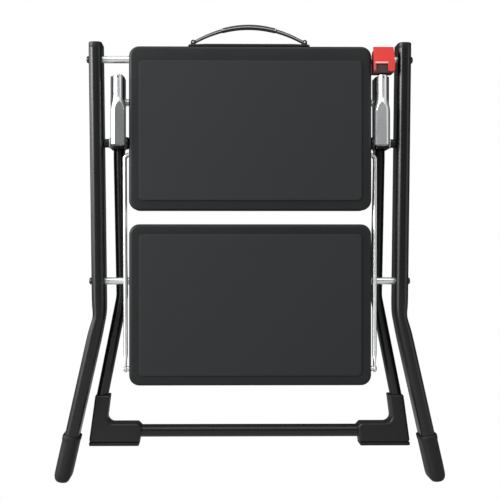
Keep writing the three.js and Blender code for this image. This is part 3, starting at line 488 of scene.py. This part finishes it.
for side, sign in sides:
    leg_low = foot_top - foot_socket
    straight_low = bracket_low - straight_below
    spine = run([(sign * rear_top_x, rear_y, rear_top), (sign * rear_top_x, rear_y, straight_low),
                 (sign * rear_bend_x, rear_y, rear_bend), (sign * rear_x(leg_low), rear_y, leg_low)],
                rear_bend_radius)
    leg = round_tube(f"rear_tube_{side}", spine, rear_width)
    dress(leg, powder_black, "rear_frame", "black_paint", f"rear_leg_{side}")

    # Half the channel's section: a bend from the web to the side, the side's rim, and the bend's inner face.
    a = np.linspace(0, math.pi / 2, 8)
    outward, forward = bracket_half - bracket_bend, bracket_front + bracket_bend
    bend_outside, bend_inside = (
        np.stack([outward + radius * np.sin(a), forward - radius * np.cos(a)], axis=1)
        for radius in (bracket_bend, bracket_bend - bracket_wall)
    )
    rim = [(bracket_half, bracket_back), (bracket_half - bracket_wall, bracket_back)]
    half = np.concatenate([bend_outside, rim, bend_inside[::-1]])
    channel = np.concatenate([half, (half * (-1, 1))[::-1]]) + (sign * bracket_x, 0)
    rings = np.stack([np.insert(channel, 2, height, axis=1) for height in (bracket_low, bracket_top)])
    bracket = surface(f"channel_{side}", rings)
    dress(bracket, powder_black, "rear_frame", "black_paint", f"leg_bracket_{side}")

bar_line = np.array([(-bar_end, rear_y, bar_height), (bar_end, rear_y, bar_height)])
bar = round_tube("crossbar", bar_line, bar_width)
dress(bar, powder_black, "rear_frame", "black_paint", "rear_crossbar")


# End tubes and support rod
# Zinc-plated tubes in front of the channels, swaged down to a neck at the top. Their fronts are pressed flat,
# facing a little inward; the flats take a rougher zinc whose darker colour paints the grey reflection on
# them. A zinc rod behind the upper step joins the two channels.
zinc_flat_painted_reflection = coat("zinc_flat_painted_reflection", (0.22, 0.223, 0.226), 0.5, 1400, 0.000006, cloud=0.3, metallic=0.3)

body_radius, body_wall, neck_radius, neck_wall, end_edge = 9.4, 2.9, 6.2, 1.2, 0.4
end_least, end_greatest = drawn_box("end_tube_right")
end_x, end_y, _ = (end_least + end_greatest) / 2
end_low, body_top, neck_low, end_top = end_least[2], 469.2, 482, end_greatest[2]
shoulder_low, shoulder_high = body_top - 3, neck_low + 3
flat_turn, flat_depth, flat_margin, least_cosine = math.radians(18), 7.2, 0.04, 0.1
share = np.linspace(0, 1, 15)
shoulder = np.stack([shoulder_low + (shoulder_high - shoulder_low) * share,
                     body_radius + (neck_radius - body_radius) * share ** 2 * (3 - 2 * share)], axis=1)
neck_bore, body_bore = neck_radius - neck_wall, body_radius - body_wall
end_profile = np.array([
    (end_low, body_radius - end_edge), (end_low + end_edge, body_radius), *shoulder,
    (end_top - end_edge, neck_radius), (end_top, neck_radius - end_edge), (end_top, neck_bore),
    (neck_low, neck_bore), (body_top, body_bore), (end_low, body_bore), (end_low, body_radius - end_edge),
])
hole_radius, hole_drop, hole_depth, hole_rim = 1.1, 3, 0.6, 0.05
hole_profile = [(-hole_rim, 0), (-hole_rim, hole_radius), (hole_depth, hole_radius), (hole_depth, 0)]
for side, sign in sides:
    # Each circle's radius, or the flat's plane where it is nearer: depth / cos(angle from the flat's normal).
    a = np.linspace(0, 2 * math.pi, 90, endpoint=False)
    circle = np.stack([np.cos(a), np.sin(a)], axis=1)
    flat_normal = np.array([-sign * math.sin(flat_turn), -math.cos(flat_turn)])
    reach = np.minimum(end_profile[:, 1:], flat_depth / np.maximum(circle @ flat_normal, least_cosine))
    heights = end_profile[:, :1] + 0 * a
    rings = np.concatenate([reach[..., None] * circle, heights[..., None]], axis=-1)
    necked = surface(f"necked_tube_{side}", rings + (sign * end_x, end_y, 0), wrap=True)
    dress(necked, zinc_plate, "rear_frame", "zinc", f"end_tube_{side}")
    necked.data.materials.append(zinc_flat_painted_reflection)
    middle = drawing_zero[:2] + np.array([sign * end_x, end_y]) * millimetre
    # Faces on the flat take the second, darker zinc, which paints the grey reflection on the flats.
    for face in necked.data.polygons:
        depth = (np.array(face.center)[:2] - middle) @ flat_normal / millimetre
        face.material_index = int(depth > flat_depth - flat_margin)

    # A small black disc at the front of each neck paints the shade inside a small hole there.
    hole_at = (sign * end_x, end_y - neck_radius, end_top - hole_drop)
    hole = turned(f"neck_hole_shade_{side}", hole_profile, hole_at, "y", 20)
    dress(hole, moulded_black, "rear_frame", "black_plastic")

support_least, support_greatest = drawn_box("support_rod")
support_height = (support_least[2] + support_greatest[2]) / 2
rod_radius, rod_end = 4.5, bracket_outer + pivot_gap
rod_head = [
    (rod_end, rod_radius), (rod_end, 5.9), (rod_end + 1.0, 5.8), (rod_end + 1.4, 4.9), (rod_end + 1.4, 0),
]
rod = turned("support_bar", mirrored(rod_head, -1)[::-1] + rod_head, (0, rear_y, support_height))
dress(rod, zinc_plate, "rear_frame", "zinc", "support_rod")


# Corner feet
# Moulded plastic elbows that take the rear leg from above and the crossbar from the side, each with a thin
# rubber sole. Their edges are softly rounded, and the leg stands in a collar.
def cornered(corners, points=7):
    """A closed outline through corners of (x, y, radius). At each an arc touches both its sides: it starts
    radius x tan(half the turn) before the corner."""
    corners = np.array(corners, float)
    here, radius = corners[:, :2], corners[:, 2:]
    into = here - np.roll(here, 1, axis=0)
    into /= np.linalg.norm(into, axis=1, keepdims=True)
    out = np.roll(into, -1, axis=0)
    side = np.stack([-into[:, 1], into[:, 0]], axis=1)
    angle = np.arctan2(np.sum(out * side, axis=1), np.sum(out * into, axis=1))[:, None]
    start = here - into * radius * np.tan(np.abs(angle) / 2)
    a = np.abs(angle) * np.linspace(0, 1, points)
    arc = into[:, None] * np.sin(a)[..., None] + (np.sign(angle) * side)[:, None] * (1 - np.cos(a))[..., None]
    return (start[:, None] + radius[:, None] * arc).reshape(-1, 2)


def inset(corners, amount):
    """The same corners with every side moved inward by an amount, where the inside lies on their left. A
    corner moves by the amount x (n + m) / (1 + n . m), where n and m are its sides' inward normals."""
    corners = np.array(corners, float)
    here = corners[:, :2]
    into = here - np.roll(here, 1, axis=0)
    into /= np.linalg.norm(into, axis=1, keepdims=True)
    out = np.roll(into, -1, axis=0)
    side, next_side = (np.stack([-v[:, 1], v[:, 0]], axis=1) for v in (into, out))
    moved = here + amount * (side + next_side) / (1 + np.sum(side * next_side, axis=1, keepdims=True))
    turn_left = np.sum(out * side, axis=1, keepdims=True) > 0
    radius = np.maximum(corners[:, 2:] + np.where(turn_left, -amount, amount), sharpest_corner)
    return np.concatenate([moved, radius], axis=1)


def slab(name, corners, front, back, front_edge, back_edge=None, steps=6):
    """A plate between two depths, with corners of (x, height, radius) whose inside lies on their left. Near
    each face the outline is drawn in along a quarter of a circle, which rounds the plate's edge."""
    back_edge = front_edge if back_edge is None else back_edge
    levels = [(front + rise, amount) for rise, amount in quarter(front_edge, steps)]
    levels += [(back - rise, amount) for rise, amount in quarter(back_edge, steps)[::-1]]
    return surface(name, np.array([np.insert(cornered(inset(corners, amount)), 1, depth, axis=1)
                                   for depth, amount in levels]))


def facing(corners, sign):
    """Corners drawn for the right, or their mirror image for the left in turning order."""
    return corners if sign > 0 else (np.array(corners) * (-1, 1, 1))[::-1]


sole_inset, sole_edge, sharpest_corner = 0.8, 0.8, 0.05
(_, _, foot_low), (_, _, sole_top) = drawn_box("corner_sole_right")
foot_outer, foot_length, foot_edge, arm_top = rear_x(foot_low) + 2.3, 65.7, 3.2, 72
collar_top = foot_top + 2.8
collar_outer, collar_inner = rear_x(collar_top) + 8.4, rear_x(collar_top) - 10.4
arm_end = foot_outer - foot_length
foot_corners = [
    (foot_outer + 1.4, sole_top + 0.2, 3.4), (collar_outer, collar_top, 2), (collar_inner, collar_top, 1.6),
    (collar_inner + 4.6, arm_top, 8), (arm_end + 4.5, arm_top, 2), (arm_end, arm_top - 4.5, 1.2),
    (arm_end + 2.5, sole_top + 0.3, 1.5),
]
sole_corners = [
    (foot_outer + 0.8, foot_low, 1.4), (foot_outer + 1.2, sole_top, 0.4),
    (arm_end + 3, sole_top, 0.4), (arm_end + 3.4, foot_low, 1.2),
]
for side, sign in sides:
    foot = slab(f"elbow_foot_{side}", facing(foot_corners, sign), foot_front, foot_back, foot_edge)
    dress(foot, moulded_black, "rear_frame", "black_plastic", f"corner_foot_{side}")
    pad = slab(f"elbow_sole_{side}", facing(sole_corners, sign), foot_front + sole_inset,
               foot_back - sole_inset, sole_edge)
    dress(pad, boot_rubber, "rear_frame", "black_rubber", f"corner_sole_{side}")


# Upper step
# A shallow tray of satin black sheet, folded up into the plane of the frame, with its edges rolled back and a
# grey anti-slip mat stuck on its front. It hangs on the top axle in two plastic bushes, with slotted plates
# behind it.
def panel(name, node, corner, profile):
    """Round-cornered rectangles as wide and high as a node, drawn in by an amount at each depth of a profile
    of (depth, amount). The first and the last are closed with a flat face."""
    low, high = drawn_box(node)
    width, _, height = high - low
    rings = []
    for depth, amount in profile:
        outline = rounded(width - 2 * amount, height - 2 * amount, max(corner - amount, least_panel_corner))
        rings.append(np.insert(outline, 1, depth, axis=1) + (0, 0, (low[2] + high[2]) / 2))
    return surface(name, np.array(rings))


powder_satin = coat("powder_satin", (0.0155, 0.0162, 0.0168), 0.4, 500, 0.000004, specular=0.25)
mat_rubber = coat("mat_rubber", (0.0270, 0.0284, 0.0298), 0.78, 1500, 0.00005, cloud=0.06, specular=0.15)

step_front, step_back = drawn_box("platform_pan")[:, 1]
step_corner, step_rim, step_wall, step_lip, step_flat = 13, 4, 1.5, 0.4, 16
mat_corner, least_panel_corner = 6, 1.2
tray_profile = [
    (step_front, step_flat), *[(step_front + depth, amount) for depth, amount in quarter(step_rim, 9)],
    (step_back - step_lip, 0), (step_back, step_lip),
    (step_back, step_wall - step_lip), (step_back - step_lip, step_wall),
    (step_front + step_rim, step_wall), (step_front + step_wall, step_rim),
    (step_front + step_wall, step_flat),
]
mat_edge = ((0.3, 0), (1, 0), (1.2, 0.1), (1.3, 0.35), (1.3, 3))
mat_profile = [(step_front - rise, amount) for rise, amount in mat_edge]
tray = panel("upper_tray", "platform_pan", step_corner, tray_profile)
dress(tray, powder_satin, "upper_step", "black_paint", "platform_pan")
tread = panel("upper_tread", "platform_mat", mat_corner, mat_profile)
dress(tread, mat_rubber, "upper_step", "mat_rubber", "platform_mat")


# Lower step
# The same tray and mat, a little shorter and narrower. The tray turns on the lower axle, and a rivet through
# each of its sides holds an eye of the wire link.
tray = panel("lower_tray", "lower_step_pan", step_corner, tray_profile)
dress(tray, powder_satin, "lower_step", "black_paint", "lower_step_pan")
tread = panel("lower_tread", "lower_step_mat", mat_corner, mat_profile)
dress(tread, mat_rubber, "lower_step", "mat_rubber", "lower_step_mat")
rivet_least, rivet_greatest = drawn_box("link_rivet_right")
_, rivet_y, rivet_height = (rivet_least + rivet_greatest) / 2
rivet_radius, collar_radius = 2, 3.2
side_out = drawn_box("lower_step_pan")[1, 0]
eye_x = side_out + 4.2
rivet_profile = [
    (side_out - 3, 0), (side_out - 3, rivet_radius), (side_out + 0.1, rivet_radius),
    (side_out + 0.3, collar_radius), (eye_x - 1.7, collar_radius), (eye_x - 1.7, rivet_radius),
    (eye_x + 1.6, rivet_radius), (eye_x + 1.6, 3.3), (eye_x + 1.8, 3.4), (eye_x + 2.3, 3.1),
    (eye_x + 2.7, 2.2), (eye_x + 2.8, 0),
]
for side, sign in sides:
    rivet = turned(f"link_pin_{side}", mirrored(rivet_profile, sign), (0, rivet_y, rivet_height))
    dress(rivet, zinc_plate, "lower_step", "black_paint", f"link_rivet_{side}")


# Wire link
# One zinc-plated wire bent to a U: its middle runs behind the upper step in two clips, its arms come down
# outside both steps, and their ends are flattened to eyes for the lower step's rivets.
link_radius, link_bend_radius, link_step = 2.75, 6, 0.9
link_top_x, link_top_y, link_top = 158.45, -4, 413
eye_half_width, eye_half_thick, eye_reach, flat_reach, flat_run, flat_square = 4.5, 1.3, 4.5, 24, 12, 0.55
eye_end, eye_blunting = rivet_height - eye_reach, 0.995
link_line = spread(run([(-eye_x, rivet_y, eye_end), (-link_top_x, link_top_y, link_top),
                        (link_top_x, link_top_y, link_top), (eye_x, rivet_y, eye_end)],
                       link_bend_radius, 10), link_step)
walked = np.concatenate([[0], np.cumsum(np.linalg.norm(np.diff(link_line, axis=0), axis=1))])
from_end = np.minimum(walked, walked[-1] - walked)
# From flat_reach before each end the round wire turns over flat_run into a flat eye, whose tip is half a
# circle: half width x sqrt(1 - (1 - distance from the end / reach)^2). The section is a circle whose sine and
# cosine are raised to a power below one, which squares it off.
flat = np.clip((flat_reach - from_end) / flat_run, 0, 1)
flat = flat * flat * (3 - 2 * flat)
tip = np.sqrt(1 - np.clip(1 - from_end / eye_reach, 0, eye_blunting) ** 2)
half_wide = ((link_radius + (eye_half_width - link_radius) * flat) * tip)[:, None]
half_thick = (link_radius + (eye_half_thick - link_radius) * flat)[:, None]
power = (1 - flat_square * flat)[:, None]
a = np.linspace(0, 2 * math.pi, 24, endpoint=False)
link_section = np.stack([half_wide * np.sign(np.cos(a)) * np.abs(np.cos(a)) ** power,
                         half_thick * np.sign(np.sin(a)) * np.abs(np.sin(a)) ** power], axis=-1)
wire = surface("link_wire_bent", swept(link_section, link_line))
dress(wire, zinc_plate, "link", "zinc", "link_wire")


# Handle
# A moulded strap bowed over a base strip on the upper step's rear edge, pinned between lugs at both ends,
# with a thicker soft grip round its middle.
grip_black = coat("grip_black", (0.010, 0.0103, 0.0106), 0.3, 700, 0.00001)
painted_highlight_grey = coat("painted_highlight_grey", (0.30, 0.305, 0.31), 0.35, 700, 0.00001, cloud=0.15)

handle_x, handle_y, strap_end, strap_rise, pin_height = -1.6, -4, 70.2, 20, 554.4
base_low, base_end, base_top, base_flat, base_half = 548.9, 76.6, 552, 55, 7.5
lug_gap, lug_thickness, lug_low, lug_half, lug_rise, lug_corner = 4.6, 2, 550.5, 3.4, 2.8, 2.7
pin_half, pin_radius, pin_edge = lug_gap + lug_thickness + 0.2, 1.2, 0.3
strap_half, strap_width, strap_thick, strap_thin, strap_corner = strap_end + 1.8, 8.5, 4.2, 2.5, 1.7
grip_half, grip_width, grip_thick, grip_thin, grip_corner = 35, 11, 5.1, 4.5, 2.2
tip_reach, tip_share, tip_blunting, thinning_power = 2, 0.1, 0.97, 1.6


def bowed(half, points):
    """Points along the strap's middle line, a parabola over the pins: height = rise (1 - (x / end)^2)."""
    x = np.linspace(-half, half, points)
    height = pin_height + strap_rise * (1 - (x / strap_end) ** 2)
    return np.stack([handle_x + x, np.full(points, handle_y), height], axis=1)


def tapered(line, width, thick_middle, thick_end, half, radius):
    """Sections along the strap: thinner towards the ends, by the 1.6th power of the distance from the middle.
    At the tips they shrink as a circle does, thickness fully and width by a tenth."""
    apart = np.abs(line[:, 0] - handle_x)
    thick = thick_middle + (thick_end - thick_middle) * np.clip(apart / half, 0, 1) ** thinning_power
    tip = np.sqrt(1 - np.clip(1 - (half - apart) / tip_reach, 0, tip_blunting) ** 2)
    wide = width * (1 - tip_share * (1 - tip))
    return np.array([rounded(w, t, min(radius, t / 2.05)) for w, t in zip(wide, thick * tip)])


strip = slab("handle_strip", [
    (handle_x - base_end, base_low, 0.3), (handle_x + base_end, base_low, 0.3),
    (handle_x + base_end - 0.6, base_top - 0.8, 1), (handle_x + base_flat, base_top, 30),
    (handle_x - base_flat, base_top, 30), (handle_x - base_end + 0.6, base_top - 0.8, 1),
], handle_y - base_half, handle_y + base_half, 0.9)
dress(strip, moulded_black, "upper_step", "black_plastic", "handle_base")
for side, sign in sides:
    pin_x = handle_x + sign * strap_end
    for face, lug_front in (("front", -lug_gap - lug_thickness), ("back", lug_gap)):
        lug = slab(f"handle_lug_{face}_{side}", [
            (pin_x - lug_half, lug_low, 0), (pin_x + lug_half, lug_low, 0),
            (pin_x + lug_rise, pin_height + lug_rise, lug_corner),
            (pin_x - lug_rise, pin_height + lug_rise, lug_corner),
        ], handle_y + lug_front, handle_y + lug_front + lug_thickness, 0.5)
        dress(lug, moulded_black, "upper_step", "black_plastic")
    pin_head = [(pin_half - pin_edge, pin_radius), (pin_half, pin_radius - pin_edge), (pin_half, 0)]
    pin = turned(f"strap_pin_{side}", mirrored(pin_head, -1)[::-1] + pin_head, (pin_x, handle_y, pin_height),
                 "y", 24)
    dress(pin, zinc_plate, "upper_step", "zinc", f"handle_pin_{side}")

line = bowed(strap_half, 90)
strap_sections = tapered(line, strap_width, strap_thick, strap_thin, strap_half, strap_corner)
strap = surface("bow_strap", swept(strap_sections, line))
dress(strap, grip_black, "upper_step", "black_plastic", "handle_strap")
line = bowed(grip_half, 60)
grip_sections = tapered(line, grip_width, grip_thick, grip_thin, grip_half, grip_corner)
grip = surface("bow_grip", swept(grip_sections, line))
dress(grip, grip_black, "upper_step", "black_rubber", "handle_grip")

# Two pale raised lines on the front, one along the strap and one along the grip, paint the highlight that
# runs along them, and a small stud sits near each end of the grip.
bead_section, bead_proud = rounded(0.8, 1.2, 0.38), 0.05
beads = (
    ("bow_highlight_bead", strap_end - 3, 90, strap_width / 2 + bead_proud, 0.7),
    ("grip_highlight_bead", grip_half - 1.4, 60, grip_width / 2 + bead_proud, 0.9),
)
for name, half, points, forward, drop in beads:
    bead = surface(name, swept(bead_section, bowed(half, points) - (0, forward, drop)))
    dress(bead, painted_highlight_grey, "upper_step", "black_plastic")
stud_x, grip_front = 33.5, -grip_width / 2
stud_height = pin_height + strap_rise * (1 - (stud_x / strap_end) ** 2)
stud_profile = [
    (grip_front - 0.7, 0), (grip_front - 0.5, 0.7), (grip_front - 0.1, 0.9), (grip_front + 0.7, 0.9),
    (grip_front + 0.7, 0),
]
for side, sign in sides:
    stud_at = (handle_x + sign * stud_x, handle_y, stud_height)
    stud = turned(f"grip_stud_{side}", stud_profile, stud_at, "y", 20)
    dress(stud, zinc_plate, "upper_step", "zinc")


# Lock
# A red moulded lever on the top axle, above the neck of the right end tube. A dark plate in the window of its
# front block paints the shade in the recess, under a pale ledge that paints a highlight; a strip of darker
# red beside the window paints shade, and a deeper block behind, in a darker red for painted shade, turns on
# the axle.
latch_red = coat("latch_red", (0.72, 0.046, 0.038), 0.4, 800, 0.00001, cloud=0.05)
latch_painted_highlight = coat("latch_painted_highlight", (0.85, 0.50, 0.46), 0.4, 800, 0.00001, cloud=0.05)
latch_painted_side_shade = coat("latch_painted_side_shade", (0.30, 0.10, 0.10), 0.4, 800, 0.00001, cloud=0.05)
latch_shade = coat("latch_shade", (0.13, 0.012, 0.012), 0.5, 800, 0.00001, cloud=0.2)
latch_painted_recess_shade = coat("latch_painted_recess_shade", (0.055, 0.030, 0.032), 0.5, 800, 0.00001, cloud=0.2)

latch_half, latch_low, latch_window, latch_high = 12.8, 514.4, 529, 545.6
latch_in, latch_out = rear_top_x - latch_half, rear_top_x + latch_half
window_in, window_out, window_top = latch_in + 2.1, latch_out - 7.6, latch_window - 3
latch_front, latch_back = -20, 6.6
# The front block's corners run the other way round, so that its face stands a little proud of its edges.
front_block = slab("lock_front", [
    (latch_in - 0.8, latch_high, 0.8), (latch_out - 1.8, latch_high, 0.8), (latch_out, latch_window - 1, 3),
    (latch_out - 0.4, latch_low + 3.2, 1), (latch_out - 4.4, latch_low + 2, 1),
    (window_out + 0.4, latch_low + 3, 0.8), (window_out, window_top, 0.5), (window_in, window_top, 0.5),
    (window_in, latch_low + 3.2, 0.3), (latch_in + 0.8, latch_low + 3.2, 0.3),
    (latch_in - 0.2, latch_high - 8, 2),
], latch_front, latch_front + 2, 0.7, 0.2)
dress(front_block, latch_red, "lock", "red_plastic", "lock_latch")
# A pale red ledge along the top of the window paints the highlight on its edge.
ledge = slab("lock_highlight_ledge", [
    (window_in - 0.2, window_top - 0.1, 0.2), (window_out + 0.1, window_top - 0.1, 0.2),
    (window_out + 0.1, window_top + 1.8, 0.2), (window_in - 0.2, window_top + 1.8, 0.2),
], latch_front - 0.5, latch_front + 2.5, 0.5)
dress(ledge, latch_painted_highlight, "lock", "red_plastic")
# A darker red strip on the left of the window paints the shade on that side.
strip = slab("lock_shade_strip", [
    (window_in - 1.3, latch_low + 3.3, 0.2), (window_in + 0.1, latch_low + 3.3, 0.2),
    (window_in + 0.1, window_top, 0.2), (window_in - 1.3, latch_window - 1, 0.2),
], latch_front - 0.2, latch_front + 1.8, 0.3)
dress(strip, latch_painted_side_shade, "lock", "red_plastic")
# A dark brownish plate behind the window paints the shade in the recess.
shade_plate = slab("lock_shade_plate", [
    (window_in - 0.5, latch_low, 0.2), (window_out + 1.2, latch_low, 0.2),
    (window_out + 1.2, latch_window, 0.2), (window_in - 0.5, latch_window, 0.2),
], latch_front + 1.5, latch_front + 5, 0.3)
dress(shade_plate, latch_painted_recess_shade, "lock", "red_plastic")
# The block behind is a darker red: painted shade on the part that lies in shadow.
back_block = slab("lock_hub", [
    (latch_in + 0.2, latch_low + 0.2, 0.6), (latch_out - 0.4, latch_low + 0.2, 0.6),
    (latch_out - 0.4, top_axle + 2, 3), (latch_out - 4, latch_high - 0.4, 2),
    (latch_in + 1.2, latch_high - 0.4, 2), (latch_in + 0.2, top_axle + 3, 3),
], latch_front + 1.9, latch_back, 0.3, 8)
dress(back_block, latch_shade, "lock", "red_plastic")


# Bushes, clips, guide plates and rivets
# Plastic bushes on the axles, plastic clips for the wire, guide plates of black sheet under the upper step,
# and the zinc rivets of the channels. They keep the frame's shapes, and only their finishes are given here.
for side, _ in sides:
    for node, material in (
        (f"platform_bush_{side}", moulded_black), (f"lower_bush_{side}", moulded_black),
        (f"wire_bearing_{side}", moulded_black), (f"cam_bracket_{side}", powder_black),
        (f"bracket_rivet_lower_{side}", zinc_plate), (f"bracket_rivet_upper_{side}", zinc_plate),
    ):
        for slot in bpy.data.objects[node].material_slots:
            slot.material = material
